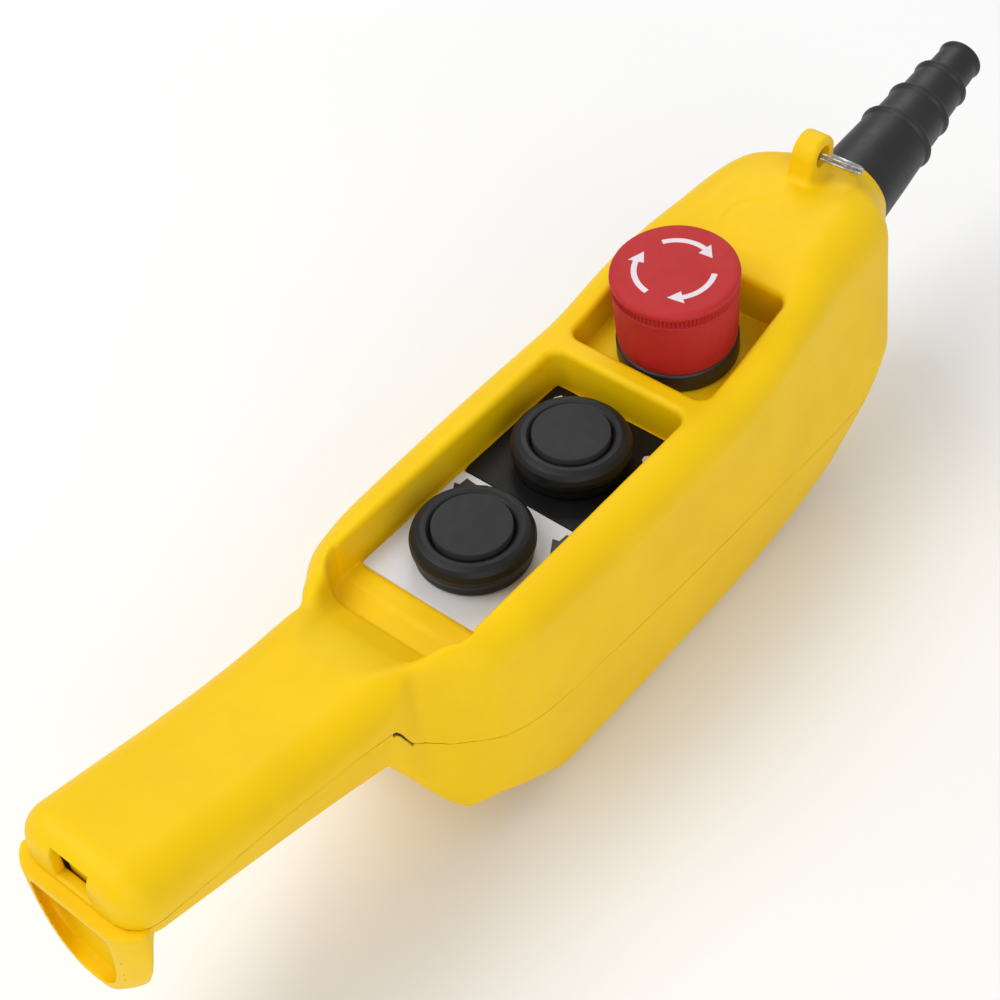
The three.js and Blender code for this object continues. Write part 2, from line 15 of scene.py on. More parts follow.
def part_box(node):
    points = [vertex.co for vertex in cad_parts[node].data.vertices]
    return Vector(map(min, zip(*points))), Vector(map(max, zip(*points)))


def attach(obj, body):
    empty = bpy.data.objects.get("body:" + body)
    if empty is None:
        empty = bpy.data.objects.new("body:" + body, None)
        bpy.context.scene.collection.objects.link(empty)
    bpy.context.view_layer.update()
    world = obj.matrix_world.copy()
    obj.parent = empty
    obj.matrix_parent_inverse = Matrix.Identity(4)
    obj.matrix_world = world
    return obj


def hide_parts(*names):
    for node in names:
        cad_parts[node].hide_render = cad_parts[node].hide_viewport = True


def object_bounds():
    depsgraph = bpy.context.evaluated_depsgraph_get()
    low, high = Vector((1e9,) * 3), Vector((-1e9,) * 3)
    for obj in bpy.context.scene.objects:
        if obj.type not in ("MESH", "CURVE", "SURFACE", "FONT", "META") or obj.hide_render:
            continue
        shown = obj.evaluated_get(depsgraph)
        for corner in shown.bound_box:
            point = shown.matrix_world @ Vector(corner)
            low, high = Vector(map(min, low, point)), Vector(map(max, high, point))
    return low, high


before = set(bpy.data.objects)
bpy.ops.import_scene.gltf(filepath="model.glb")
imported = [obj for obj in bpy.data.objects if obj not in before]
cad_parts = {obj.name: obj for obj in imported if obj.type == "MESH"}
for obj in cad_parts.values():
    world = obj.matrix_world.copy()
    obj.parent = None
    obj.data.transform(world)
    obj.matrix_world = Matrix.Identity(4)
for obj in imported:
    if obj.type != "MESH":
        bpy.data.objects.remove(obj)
cad_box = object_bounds()

# ---------------------------------------------------------------- driving dimensions

MM = 0.001
WALL = 2.5
GAP = 0.3
BUTT_X, BUTT_ROUND = -96.2, 7.0
NOSE_X = 167.0
FLOOR_Z = -1.1
PLATE_FIRST, PLATE_PITCH, PLATE_LENGTH, PLATE_WIDTH = 17.335, 34.67, 34.4, 35.0
PLATE_THICK, PLATE_CORNER, PLATE_CORNER_IN = 0.8, 0.6, 0.18
INK_SUNK, INK_PROUD = 0.1, 0.06
RECESS = {"from": -10.0, "to": 70.3, "half": 18.7, "corner": 3.5, "floor_round": 0.5}
RAMP = {"top": 10.6, "run": 15.0, "half_high": 9.5, "half_low": 16.4, "corner": 3.5, "fillet": 2.0}
RECESS_RIM = {"round": 1.6, "more": 3.4, "run": 16, "before": 5}
STOP = {"x": 93.2, "z": 3.6, "tilt": math.radians(-5.5), "from": -16.6, "to": 17.3, "half": 19.2,
        "corner": 3.2, "rim": 1.5, "top": 25.84}
HOLE_R = 11.5
SPRING_WIRE = 0.42
EYE = {"x": 148.0, "z": 26.8, "outer": 5.2, "bore": 2.7, "half": 3.2, "lean_grip": 0.16,
       "lean_nose": 0.032, "fillet": 1.8}
RING = {"radius": 7.7, "wire": 0.46, "apart": 0.56, "lean": math.radians(38), "aside": -2.9,
        "reach": 6.0, "turns": 2.0, "cut_at": 0.6}
SLEEVE = {"x": 165.0, "z": -0.07, "rise": math.radians(11.8), "bore": 4.9, "way": 11.8, "way_deep": 14}
SLEEVE_FLANGE = {"radius": 13.4, "from": -13, "to": -10}
# Each length of the sleeve: where it starts across, where it ends along, its radius there, its bead.
SLEEVE_STEPS = [(11.4, 27.4, 9.8, 10.55), (9.0, 38.5, 8.5, 9.15), (7.7, 49.3, 7.2, 7.85),
                (6.1, 59.4, 5.7, 6.2)]
CLAMP = {"x": 124.0, "z": -14.0, "reach": 11.5, "post": 3.4, "pilot": 1.3, "deep": 9}
WINDOW = {"half": 4.9, "low": 10.2, "high": 18.0, "deep": 4}
TONGUE = {"from": 3.1, "to": 4.7, "play": 0.7, "low": 1.5, "high": 16}
HOOK = {"lip": 8.6, "half": 16.8, "depth": 27, "from": -90.5, "full": -95.2, "bow": -94,
        "bow_run": 5.3, "bow_in": 6.2, "root_in": 1.4, "out": -98.8, "wall": 1.8, "power": 2.5}
HEAD_SCREWS = [(4, 20), (66, 20.5), (126, 19.5)]
GRIP_SCREW_X = -58
SCREW_SPOTS = [(x, s * y) for x, y in HEAD_SCREWS for s in (1, -1)] + [(GRIP_SCREW_X, 0)]
SCREW_HEAD_R, SCREW_SHANK_R, SCREW_HEAD_DEEP = 2.9, 1.45, 7.4
THREAD_PITCH, THREAD_DEEP = 0.9, 0.28
BOSS_R = 3.9
SEAL_WAY = {"in": 1.4, "half": 0.35, "deep": 1.0, "grip": (-90, -34), "head": (0, 145)}
MOULD_DISC = {"x": 124.5, "r": 8.8, "sunk": 0.22, "edge": 0.9}
PRY_SLOT = {"from": -29.5, "to": -24.5, "deep": 0.9, "high": 1.2}
SEAM_GAP, SEAM_EDGE = 0.12, 0.25

CAMERA = {"azimuth": math.radians(-47.93), "elevation": math.radians(47.24),
          "roll": math.radians(-3.93), "lens": 66.584, "at": (-237.54, -182.16, 357.04)}
LAMPS = {"key": {"at": (-0.5, 0.45, 1.1), "size": 0.8, "power": 7.0},
         "fill": {"at": (-0.7, -1.0, 0.6), "size": 1.0, "power": 5},
         "back": {"at": (0.8, 0.5, 0.9), "size": 0.6, "power": 3}}
LAMP_AIM = Vector((0, 0, 0.04))
SKY_STRENGTH = 0.55
FLOOR_HALF, FLOOR_DROP = 6.0, 0.0005

plate_low, plate_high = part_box("down_legend_plate")
ORIGIN = Vector(((plate_low.x + plate_high.x) / 2 - PLATE_FIRST * MM, 0, plate_high.z))
HOME = Matrix.Translation(ORIGIN) @ Matrix.Scale(MM, 4)
STOP_HOME = HOME @ Matrix.Translation((STOP["x"], 0, STOP["z"])) @ Matrix.Rotation(STOP["tilt"], 4, "Y")
SLEEVE_HOME = (HOME @ Matrix.Translation((SLEEVE["x"], 0, SLEEVE["z"]))
               @ Matrix.Rotation(math.pi / 2 - SLEEVE["rise"], 4, "Y"))

# ---------------------------------------------------------------- outline curves

CURVE_X = np.linspace(-110, 190, 6001)


def curve(*knots):
    """Smooth curve through a few knots that never overshoots them, as a function of arrays."""
    kx, ky = np.array(knots, float).T
    step = np.diff(ky) / np.diff(kx)
    left, right = step[:-1], step[1:]
    same = left * right > 0
    inner = np.where(same, 2 * left * right / np.where(same, left + right, 1), 0)
    slope = np.concatenate([[step[0]], inner, [step[-1]]])
    i = np.clip(np.searchsorted(kx, CURVE_X, "right") - 1, 0, len(kx) - 2)
    span = kx[i + 1] - kx[i]
    t = np.clip((CURVE_X - kx[i]) / span, 0, 1)
    value = (1 + 2 * t) * (1 - t) ** 2 * ky[i] + t * (1 - t) ** 2 * span * slope[i]
    value += t * t * (3 - 2 * t) * ky[i + 1] + t * t * (t - 1) * span * slope[i + 1]
    return lambda x: np.interp(x, CURVE_X, value)


crown = curve((-97, 21.6), (-26, 9.8), (-8, 9.8), (76, 10.4), (109, 17.6), (125, 20.6), (140, 21.7),
              (148, 21.1), (154, 19.2), (NOSE_X, 12.9))
keel = curve((-97, 1.4), (-68, -6), (-34, -14.2), (-29.5, -15.4), (-27.5, -18.6), (-16.5, -38.7),
             (-14.5, -40.6), (-8, -42.2), (0, -46.6), (8, -51.6), (12, -54.2), (16, -55), (82, -55),
             (105, -52.8), (121, -49.2), (134, -43), (143, -35.5), (150, -28), (157, -20.5),
             (NOSE_X, -12.2))
top_half = curve((-97, 16.2), (-22, 17), (-15, 20.4), (-5, 25.3), (9, 27.3), (50, 28.2), (90, 27.8),
                 (112, 25.9), (125, 24.1), (137, 23.2), (147, 22), (157, 16.8), (NOSE_X, 12.4))
draft = curve((-97, 0.5), (-32, 1.2), (-10, 1.6), (90, 1.9), (112, 3.6), (125, 5.2), (139, 5.8),
              (147, 5.4), (152, 3.4), (157, 1.2), (NOSE_X, 0.1))
back_half = curve((-97, 13.5), (-31, 16.3), (-29, 17), (-17, 23.2), (-13, 24.6), (0, 26.8),
                  (60, 27.6), (120, 27), (138, 25.4), (148, 22.6), (157, 16.6), (NOSE_X, 12.3))
top_radius = curve((-97, 8), (100, 8), (140, 11), (NOSE_X, 12.2))
back_radius = curve((-97, 5.5), (-32, 5.5), (-26, 3.2), (-8, 3.6), (20, 5), (120, 5), (150, 7),
                    (NOSE_X, 12))
seam = curve((-100, 9.2), (-29, -1), (-24, -10), (-15, -17), (6, -23), (30, -24.4), (86, -28),
             (132, -31), (148, -22), (156, -8), (161, -0.5), (180, 1))

# A gentler line near the seam, along which the meshing grid bends.
grid_bend = curve((-100, 9.2), (-44, 1.2), (-34, -1), (-10, -17), (6, -22.6), (30, -24.4), (86, -28),
                  (130, -30.5), (140, -27), (164, 0), (180, 1))

# ---------------------------------------------------------------- signed distances


def meet(a, b, r):
    """What both shapes share, with the edge between them rounded by r."""
    return np.minimum(np.maximum(a, b), -r) + np.hypot(np.maximum(a + r, 0), np.maximum(b + r, 0))


def fuse(a, b, r):
    """Both shapes joined, with a fillet of radius r."""
    return -meet(-a, -b, r)


def carve(a, b, r):
    """a less b, with the rim rounded by r."""
    return meet(a, -b, r)


def ramp01(t):
    """0 below t = 0, 1 above t = 1 and a smooth rise between."""
    t = np.clip(t, 0, 1)
    return t * t * (3 - 2 * t)


def slab(x, low, high):
    """The space between two parallel planes."""
    return np.maximum(low - x, x - high)


def post(x, y, r):
    """An endless round bar."""
    return np.hypot(x, y) - r


def rounded_box(x, y, x0, x1, half, r):
    """Upright prism over a rectangle with rounded corners."""
    u = np.abs(x - (x0 + x1) / 2) - (x1 - x0) / 2 + r
    v = np.abs(y) - half + r
    return np.hypot(np.maximum(u, 0), np.maximum(v, 0)) + np.minimum(np.maximum(u, v), 0) - r


def to_stop(x, z):
    """Design coordinates to the emergency stop's own."""
    c, s = math.cos(STOP["tilt"]), math.sin(STOP["tilt"])
    return (x - STOP["x"]) * c - (z - STOP["z"]) * s, (x - STOP["x"]) * s + (z - STOP["z"]) * c


def outline(x, y, z):
    """The closed outer form of the housing: a rounded box at each x, widest at the seam."""
    a = np.abs(y)
    high, low = crown(x), keel(x)
    w_top, w_back = top_half(x), back_half(x)
    r_top, r_back = top_radius(x), back_radius(x)
    w_mid = w_top + draft(x)
    z_mid = np.minimum(high - r_top - 0.1, np.maximum(low + r_back + 0.1, seam(x)))
    up, down = high - z_mid, z_mid - low
    upper = ((a - w_top) * up + (z - high) * (w_mid - w_top)) / np.hypot(up, w_mid - w_top)
    lower = ((a - w_back) * down + (z - low) * (w_back - w_mid)) / np.hypot(down, w_back - w_mid)
    from_rim = MOULD_DISC["r"] - np.hypot(x - MOULD_DISC["x"], y)
    sunk = MOULD_DISC["sunk"] * ramp01(from_rim / MOULD_DISC["edge"])
    front = meet(z - high + sunk, upper, r_top)
    back = meet(low - z, lower, r_back)
    form = meet(front, back, 1.5)
    form = meet(form, BUTT_X - x, BUTT_ROUND)
    return meet(form, x - NOSE_X, 0.8)


def button_recess(x, y, z):
    """The long recess of the two push buttons, with the sloping way in from the grip."""
    well = rounded_box(x, y, RECESS["from"], RECESS["to"], RECESS["half"], RECESS["corner"])
    well = meet(well, FLOOR_Z - z, RECESS["floor_round"])
    start = RECESS["from"] - RAMP["run"]
    t = (x - start) / RAMP["run"]
    slope_z = RAMP["top"] + (FLOOR_Z - RAMP["top"]) * t
    fall = (RAMP["top"] - FLOOR_Z) / RAMP["run"]
    bed = (slope_z - z) / math.hypot(1, fall)
    half = RAMP["half_high"] + (RAMP["half_low"] - RAMP["half_high"]) * np.clip(t, -1, 1.3)
    chute = meet(np.abs(y) - half, bed, RAMP["corner"])
    chute = np.maximum(np.maximum(chute, x - RECESS["from"] - 4), FLOOR_Z - z)
    return fuse(well, chute, RAMP["fillet"])


def stop_recess(x, y, z):
    """The square recess round the emergency stop, tilted with it."""
    u, w = to_stop(x, z)
    well = rounded_box(u, y, STOP["from"], STOP["to"], STOP["half"], STOP["corner"])
    return meet(well, -w, RECESS["floor_round"])


def eye_lug(x, y, z):
    """The upright lug that carries the hanging ring."""
    u, w = x - EYE["x"], z - EYE["z"]
    left = -u - EYE["outer"] + w * EYE["lean_grip"]
    right = u - EYE["outer"] + w * EYE["lean_nose"]
    flank = np.maximum(left, right)
    face = np.where(w > 0, np.hypot(u, w) - EYE["outer"], flank)
    lug = meet(face, np.abs(y) - EYE["half"], 1.1)
    return np.maximum(lug, crown(x) - 2 - z)


def walls(x, y, z):
    """The hollow housing in one piece, before it is split along the seam, and its solid form."""
    block = outline(x, y, z)
    softer = ramp01((RECESS["from"] + RECESS_RIM["before"] - x) / RECESS_RIM["run"])
    block = carve(block, button_recess(x, y, z), RECESS_RIM["round"] + RECESS_RIM["more"] * softer)
    block = carve(block, stop_recess(x, y, z), STOP["rim"])
    wall = np.maximum(block, -block - WALL)
    for centre in (PLATE_FIRST, PLATE_FIRST + PLATE_PITCH):
        wall = np.maximum(wall, -np.maximum(post(x - centre, y, HOLE_R), slab(z, -10, 5)))
    u, w = to_stop(x, z)
    wall = np.maximum(wall, -np.maximum(post(u, y, HOLE_R), slab(w, -10, 5)))
    along, off = sleeve_axes(x, y, z)
    return carve(wall, np.maximum(off - SLEEVE["way"], -SLEEVE["way_deep"] - along), 0.4), block


def sleeve_axes(x, y, z):
    """Distance along the sleeve's axis, and out from it."""
    c, s = math.cos(SLEEVE["rise"]), math.sin(SLEEVE["rise"])
    dx, dz = x - SLEEVE["x"], z - SLEEVE["z"]
    return dx * c + dz * s, np.hypot(y, dz * c - dx * s)


def hook_form(x, y, z, grow):
    """Full-bellied bowl below the lip, which drops steeply from the grip's underside. Its section
    is a superellipse, made larger by grow or, where grow is negative, smaller."""
    inward = min(0, grow)
    drop = ramp01((HOOK["from"] - x + 0.6 * inward) / (HOOK["from"] - HOOK["full"]))
    bow = np.minimum(np.maximum(0, HOOK["bow"] - x) / HOOK["bow_run"], 1.1)
    lip = HOOK["lip"] + inward
    deep = lip - keel(x) - (HOOK["lip"] - HOOK["depth"] - keel(x)) * drop + grow
    half = HOOK["half"] + grow - HOOK["root_in"] * (1 - drop) - HOOK["bow_in"] * bow ** 2
    power = HOOK["power"]
    a, b = np.abs(y) / half, np.maximum(lip - z, 0) / deep
    reach = (a ** power + b ** power) ** (1 / power)
    rate = np.hypot(a ** (power - 1) / half, b ** (power - 1) / deep)
    rate /= np.maximum(reach, 0.05) ** (power - 1)
    return (reach - 1) / np.maximum(rate, 0.02)


def front_shell(x, y, z):
    """Front half: bosses and ribs inside, the eye on top and the window in the butt."""
    wall, block = walls(x, y, z)
    height = z - seam(x)
    inside = np.full_like(wall, 50.0)
    for sx, sy in SCREW_SPOTS:
        rise = z - seam(sx)
        inside = fuse(inside, np.maximum(post(x - sx, y - sy, BOSS_R), rise - 9), 1.0)
        if sy:
            rib = np.maximum(np.abs(x - sx) - 1, np.abs(y - 1.32 * sy) - 6.5)
            inside = np.minimum(inside, np.maximum(rib, slab(rise, -0.5, 11.5)))
        else:
            inside = np.minimum(inside, np.maximum(np.abs(x - sx) - 1.1, slab(rise, 0, 12)))
    shell = fuse(wall, np.maximum(inside, block + 0.5), 0.8)
    shell = fuse(shell, eye_lug(x, y, z), EYE["fillet"])
    shell = carve(shell, post(x - EYE["x"], z - EYE["z"], EYE["bore"]), 0.5)
    window = np.maximum(np.abs(y) - WINDOW["half"], slab(z, WINDOW["low"], WINDOW["high"]))
    shell = carve(shell, np.maximum(window, x - BUTT_X - WINDOW["deep"]), 0.4)
    for sx, sy in SCREW_SPOTS:
        pilot = np.maximum(post(x - sx, y - sy, SCREW_SHANK_R + 0.25), z - seam(sx) - 6)
        shell = np.maximum(shell, -pilot)
    return meet(shell, SEAM_GAP / 2 - height, SEAM_EDGE)


def butt_hook(x, y, z, height):
    """The flared hook at the butt: a bowl open towards the user, let into the grip's end."""
    hollow = meet(hook_form(x, y, z, -HOOK["wall"]), z - HOOK["lip"] + HOOK["wall"], 1.2)
    hollow = np.maximum(hollow, x - HOOK["from"] + 1.8)
    body = outline(x, y, z)
    cup = np.maximum(hook_form(x, y, z, 0), x - HOOK["from"])
    cup = meet(meet(cup, z - HOOK["lip"], 0.5), HOOK["out"] - x, 0.5)
    cup = carve(cup, np.maximum(hollow, -body), 0.4)
    cup = np.maximum(cup, -np.maximum(body, -height - GAP / 2))
    return np.maximum(cup, -(body + WALL))


def rear_shell(x, y, z):
    """Rear half: screw posts, clamp posts, the hook and the tongue behind the window."""
    wall, block = walls(x, y, z)
    height = z - seam(x)
    inside = np.full_like(wall, 50.0)
    for sx, sy in SCREW_SPOTS:
        inside = fuse(inside, post(x - sx, y - sy, BOSS_R + 0.4), 1.0)
    for side in (-1, 1):
        clamp = post(x - CLAMP["x"], y - side * CLAMP["reach"], CLAMP["post"])
        inside = np.minimum(inside, np.maximum(clamp, z - CLAMP["z"]))
    shell = fuse(wall, np.maximum(inside, block + 0.5), 0.8)
    shell = meet(shell, height + SEAM_GAP / 2, SEAM_EDGE)
    notch = np.maximum(slab(x, PRY_SLOT["from"], PRY_SLOT["to"]), -PRY_SLOT["high"] - height)
    shell = carve(shell, np.maximum(notch, -PRY_SLOT["deep"] - block), 0.15)
    tongue = np.maximum(slab(x, BUTT_X + TONGUE["from"], BUTT_X + TONGUE["to"]),
                        np.abs(y) - WINDOW["half"] + TONGUE["play"])
    tongue = np.maximum(tongue, slab(z, TONGUE["low"], TONGUE["high"]))
    shell = np.minimum(np.minimum(shell, butt_hook(x, y, z, height)), tongue)
    seal_way = np.maximum(np.abs(block + SEAL_WAY["in"]) - SEAL_WAY["half"],
                          slab(height, -SEAL_WAY["deep"], 1))
    stretches = np.minimum(slab(x, *SEAL_WAY["grip"]), slab(x, *SEAL_WAY["head"]))
    shell = np.maximum(shell, -np.maximum(seal_way, stretches))
    for sx, sy in SCREW_SPOTS:
        off = np.hypot(x - sx, y - sy)
        counterbore = np.maximum(off - SCREW_HEAD_R - 0.5, z - seam(sx) + SCREW_HEAD_DEEP)
        shell = carve(shell, counterbore, 0.4)
        shell = np.maximum(shell, SCREW_SHANK_R + 0.35 - off)
    for side in (-1, 1):
        pilot = post(x - CLAMP["x"], y - side * CLAMP["reach"], CLAMP["pilot"])
        shell = np.maximum(shell, -np.maximum(pilot, CLAMP["z"] - CLAMP["deep"] - z))
    return shell


def machine_screw(x, y, z):
    """Pan head below z = 0 with a cross recess, and a threaded shank above it."""
    r = np.hypot(x, y)
    head = meet(r - SCREW_HEAD_R, -z - 2 + 0.12 * r * r / SCREW_HEAD_R, 0.5)
    head = np.maximum(head, z)
    for u, v in ((x, y), (y, x)):
        slot = np.maximum(np.abs(u) - 0.32, np.abs(v) - 1.5)
        head = np.maximum(head, -np.maximum(slot, z + 0.9))
    turn = z / THREAD_PITCH - np.arctan2(y, x) / (2 * math.pi)
    thread = THREAD_DEEP * np.abs((turn % 1) - 0.5) * 2
    shank = np.maximum(r - SCREW_SHANK_R + 0.05 + thread, slab(z, -0.5, 12))
    return fuse(head, meet(shank, z - 12, 0.8), 0.3)


# ---------------------------------------------------------------- meshing a signed distance


def normals_at(shape, p, reach):
    """Unit normals of the surface near each point, from central differences."""
    parts = []
    for axis in range(3):
        step = np.zeros(3)
        step[axis] = reach
        a, b = p + step, p - step
        parts.append(shape(a[:, 0], a[:, 1], a[:, 2]) - shape(b[:, 0], b[:, 1], b[:, 2]))
    g = np.stack(parts, 1) / (2 * reach)
    return g / np.maximum(np.linalg.norm(g, axis=1, keepdims=True), 1e-9)


def crossing(shape, p0, p1, f0, f1):
    """Where the surface crosses each edge p0 to p1, by three steps of false position."""
    lo, hi, f_lo, f_hi = np.zeros_like(f0), np.ones_like(f0), f0, f1
    for _ in range(3):
        t = lo + (hi - lo) * f_lo / (f_lo - f_hi)
        p = p0 + (p1 - p0) * t[:, None]
        f = shape(p[:, 0], p[:, 1], p[:, 2])
        same = (f < 0) == (f0 < 0)
        lo, f_lo = np.where(same, t, lo), np.where(same, f, f_lo)
        hi, f_hi = np.where(same, hi, t), np.where(same, f_hi, f)
    t = lo + (hi - lo) * f_lo / np.where(f_lo == f_hi, 1, f_lo - f_hi)
    return p0 + (p1 - p0) * t[:, None]


def settle(owners, points, normals, cell):
    """One vertex for each cell: the point nearest to all the planes through its crossings."""
    used, owner = np.unique(owners, return_inverse=True)
    total = lambda w: np.bincount(owner, w, len(used))
    count = total(np.ones(len(owner)))
    mean = np.stack([total(points[:, i]) for i in range(3)], 1) / count[:, None]
    offset = np.einsum("ij,ij->i", normals, points - mean[owner])
    a = np.empty((len(used), 3, 3))
    b = np.empty((len(used), 3))
    for i in range(3):
        b[:, i] = total(normals[:, i] * offset)
        for j in range(3):
            a[:, i, j] = total(normals[:, i] * normals[:, j])
    a += 0.04 * count[:, None, None] * np.eye(3)
    move = np.linalg.solve(a, b[:, :, None])[:, :, 0]
    return used, mean + np.clip(move, -0.6 * cell, 0.6 * cell)


def skin(shape, low, high, cell, floor=None):
    """Dual contouring: one vertex in each cell that the surface crosses, placed where the planes
    through its crossings meet, and one quad for each crossed edge. floor(x) bends the grid's
    level planes along a curve, so that an edge on that curve comes out clean."""
    axes = [np.arange(low[i], high[i] + cell, cell) for i in range(3)]
    n = [len(a) for a in axes]
    base = floor(axes[0]) if floor else np.zeros(n[0])
    field = shape(axes[0][:, None, None], axes[1][None, :, None],
                  axes[2][None, None, :] + base[:, None, None]).astype(np.float32)
    inside = field < 0
    cells = np.array([(n[1] - 1) * (n[2] - 1), n[2] - 1, 1])
    owners, points, quads = [], [], []
    for axis in range(3):
        u, v = (axis + 1) % 3, (axis + 2) % 3
        first = [slice(None)] * 3
        second = [slice(None)] * 3
        first[axis], second[axis] = slice(None, -1), slice(1, None)
        crossed = inside[tuple(first)] != inside[tuple(second)]
        at = np.argwhere(crossed)
        keep = np.ones(len(at), bool)
        for side in (u, v):
            keep &= (at[:, side] > 0) & (at[:, side] < n[side] - 1)
        at = at[keep]
        to = at.copy()
        to[:, axis] += 1
        f0 = field[tuple(at.T)]
        f1 = field[tuple(to.T)]
        p0 = np.stack([axes[i][at[:, i]] for i in range(3)], 1)
        p1 = np.stack([axes[i][to[:, i]] for i in range(3)], 1)
        p0[:, 2] += base[at[:, 0]]
        p1[:, 2] += base[to[:, 0]]
        p = crossing(shape, p0, p1, f0, f1)
        ring = []
        for du, dv in ((0, 0), (-1, 0), (-1, -1), (0, -1)):
            c = at.copy()
            c[:, u] += du
            c[:, v] += dv
            ring.append(c @ cells)
        ring = np.stack(ring, 1)
        owners.append(ring.ravel())
        points.append(np.repeat(p, 4, axis=0))
        quads.append(np.where((f0 < 0)[:, None], ring, ring[:, ::-1]))
    owners, points, quads = np.concatenate(owners), np.concatenate(points), np.concatenate(quads)
    normals = np.repeat(normals_at(shape, points[::4], cell * 0.05), 4, axis=0)
    used, vertices = settle(owners, points, normals, cell)
    return vertices, np.searchsorted(used, quads)


# ---------------------------------------------------------------- pieces from meshes


def mesh_piece(name, vertices, faces, home, material, smooth_angle=32):
    """Object from vertices in a local frame in millimetres, carried to the row frame by home."""
    mesh = bpy.data.meshes.new(name)
    v = np.asarray(vertices, float)
    m = np.array(home)
    v = v @ m[:3, :3].T + m[:3, 3]
    if isinstance(faces, np.ndarray):
        mesh.vertices.add(len(v))
        mesh.vertices.foreach_set("co", v.astype(np.float32).ravel())
        mesh.loops.add(faces.size)
        mesh.loops.foreach_set("vertex_index", faces.astype(np.int32).ravel())
        mesh.polygons.add(len(faces))
        sides = faces.shape[1]
        mesh.polygons.foreach_set("loop_start", np.arange(0, faces.size, sides, dtype=np.int32))
        mesh.update(calc_edges=True)
        mesh.validate()
    else:
        mesh.from_pydata(v.tolist(), [], faces)
    mesh.shade_smooth()
    mesh.set_sharp_from_angle(angle=math.radians(smooth_angle))
    mesh.materials.append(material)
    piece = bpy.data.objects.new(name, mesh)
    bpy.context.scene.collection.objects.link(piece)
    return piece


def fillet(points, radius, steps=5):
    """A closed or open outline with each corner turned into an arc."""
    out = []
    n = len(points)
    closed = points[0] == points[-1]
    if closed:
        points, n = points[:-1], n - 1
    for i, p in enumerate(points):
        if not closed and i in (0, n - 1):
            out.append(tuple(p))
            continue
        p = Vector(p)
        a, b = Vector(points[i - 1]) - p, Vector(points[(i + 1) % n]) - p
        half = a.angle(b) / 2
        cut = min(radius / max(math.tan(half), 1e-3), 0.48 * a.length, 0.48 * b.length)
        start, end = p + a.normalized() * cut, p + b.normalized() * cut
        for k in range(steps + 1):
            t = k / steps
            out.append(tuple((1 - t) ** 2 * start + 2 * t * (1 - t) * p + t * t * end))
    if closed:
        out.append(out[0])
    return out


def lathe(name, profile, home, material, sides=96, smooth_angle=32, relief=None):
    """Turned piece about local Z from (radius, z) points; ends on the axis or closes on itself.
    relief(r, z, angle) is how far the surface is cut in there."""
    closed = profile[0] == profile[-1]
    profile = profile[:-1] if closed else profile
    vertices, rows = [], []
    for r, z in profile:
        if r < 1e-6:
            rows.append([len(vertices)] * sides)
            vertices.append((0, 0, z))
            continue
        rows.append([len(vertices) + k for k in range(sides)])
        for k in range(sides):
            angle = 2 * math.pi * k / sides
            q = r - relief(r, z, angle) if relief else r
            vertices.append((q * math.cos(angle), q * math.sin(angle), z))
    pairs = list(zip(rows, rows[1:])) + ([(rows[-1], rows[0])] if closed else [])
    faces = []
    for low, high in pairs:
        for k in range(sides):
            loop = [low[k], low[(k + 1) % sides], high[(k + 1) % sides], high[k]]
            loop = list(dict.fromkeys(loop))
            if len(loop) > 2:
                faces.append(loop)
    piece = mesh_piece(name, vertices, faces, home, material, smooth_angle)
    outward(piece)
    return piece


def outward(piece):
    """Turns the faces outwards."""
    bm = bmesh.new()
    bm.from_mesh(piece.data)
    bmesh.ops.recalc_face_normals(bm, faces=bm.faces)
    bm.to_mesh(piece.data)
    bm.free()


def tube(name, path, radius, home, material, sides=12):
    """Round wire along a list of points, with rounded ends."""
    path = [Vector(p) for p in path]
    tangents = [(path[min(i + 1, len(path) - 1)] - path[max(i - 1, 0)]).normalized()
                for i in range(len(path))]
    side = tangents[0].orthogonal().normalized()
    vertices, faces = [path[0] - tangents[0] * radius * 0.5], []
    for i, (p, t) in enumerate(zip(path, tangents)):
        side = (side - t * side.dot(t)).normalized()
        up = t.cross(side)
        r = radius * (0.7 if i in (0, len(path) - 1) else 1)
        vertices += [p + (side * math.cos(a) + up * math.sin(a)) * r
                     for a in np.linspace(0, 2 * math.pi, sides, endpoint=False)]
    vertices.append(path[-1] + tangents[-1] * radius * 0.5)
    last = len(vertices) - 1
    for k in range(sides):
        faces.append([0, 1 + (k + 1) % sides, 1 + k])
        end = 1 + (len(path) - 1) * sides
        faces.append([last, end + k, end + (k + 1) % sides])
        for i in range(len(path) - 1):
            a, b = 1 + i * sides, 1 + (i + 1) * sides
            faces.append([a + k, a + (k + 1) % sides, b + (k + 1) % sides, b + k])
    piece = mesh_piece(name, [tuple(v) for v in vertices], faces, home, material, 60)
    outward(piece)
    return piece


def prism(name, outline_points, low, high, home, material, bevel=0.0):
    """Upright prism over a flat outline, with its top edge softened by a bevel."""
    n = len(outline_points)
    vertices = [(x, y, low) for x, y in outline_points] + [(x, y, high) for x, y in outline_points]
    faces = [list(range(n))[::-1], list(range(n, 2 * n))]
    faces += [[i, (i + 1) % n, n + (i + 1) % n, n + i] for i in range(n)]
    piece = mesh_piece(name, vertices, faces, home, material, 30)
    outward(piece)
    if bevel:
        soften(piece, bevel)
    return piece


def soften(piece, width):
    """Bevels a piece's sharp edges by a width in millimetres."""
    edge = piece.modifiers.new("soft_edges", "BEVEL")
    edge.width = width * MM
    edge.segments = 2
    edge.limit_method = "ANGLE"
    edge.angle_limit = math.radians(40)
    edge.harden_normals = False
    return edge


def place(piece, body, slot, *nodes):
    """Puts a piece on its body and hides the CAD nodes it stands for."""
    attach(piece, body)
    if nodes:
        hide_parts(*nodes)
    return piece


# ---------------------------------------------------------------- materials


